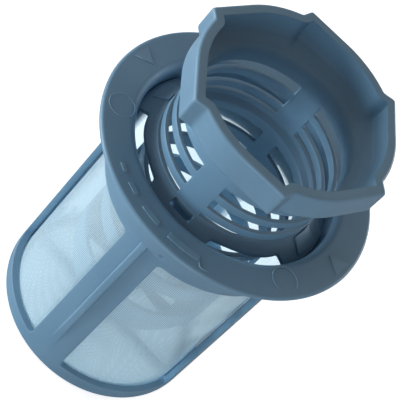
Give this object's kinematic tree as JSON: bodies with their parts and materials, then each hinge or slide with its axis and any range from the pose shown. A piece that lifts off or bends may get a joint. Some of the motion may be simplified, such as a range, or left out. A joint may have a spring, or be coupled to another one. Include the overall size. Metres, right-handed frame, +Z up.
{
  "type": "dishwasher filter",
  "caption": "Round dishwasher filter in slate-blue plastic: a flanged cage with woven mesh, and a coarse basket with an eared crown that lifts out of it",
  "frame": {"origin": "centre of the cage's foot, on the axis, in the plane that the bottom ring stands on", "axes": "+Z up along the filter's axis to the crown; -Y is the side of the front rib, with the row of raised bars on the flange; +X to the right of it"},
  "size_m": [0.098, 0.098, 0.1354],
  "materials": {
    "moulded_blue": "slate-blue moulded polypropylene, satin, with faint flow lines",
    "woven_mesh": "fine pale blue plastic monofilament, woven, translucent"
  },
  "bodies": {
    "micro_filter": {"cage": "moulded_blue", "side_mesh": "woven_mesh", "base_mesh": "woven_mesh"},
    "basket": {"coarse_basket": "moulded_blue"}
  },
  "joints": [
    {"name": "basket_lift", "type": "slide", "parent": "micro_filter", "child": "basket", "axis": [0, 0, 1], "range_m": [0, 0.085]}
  ]
}
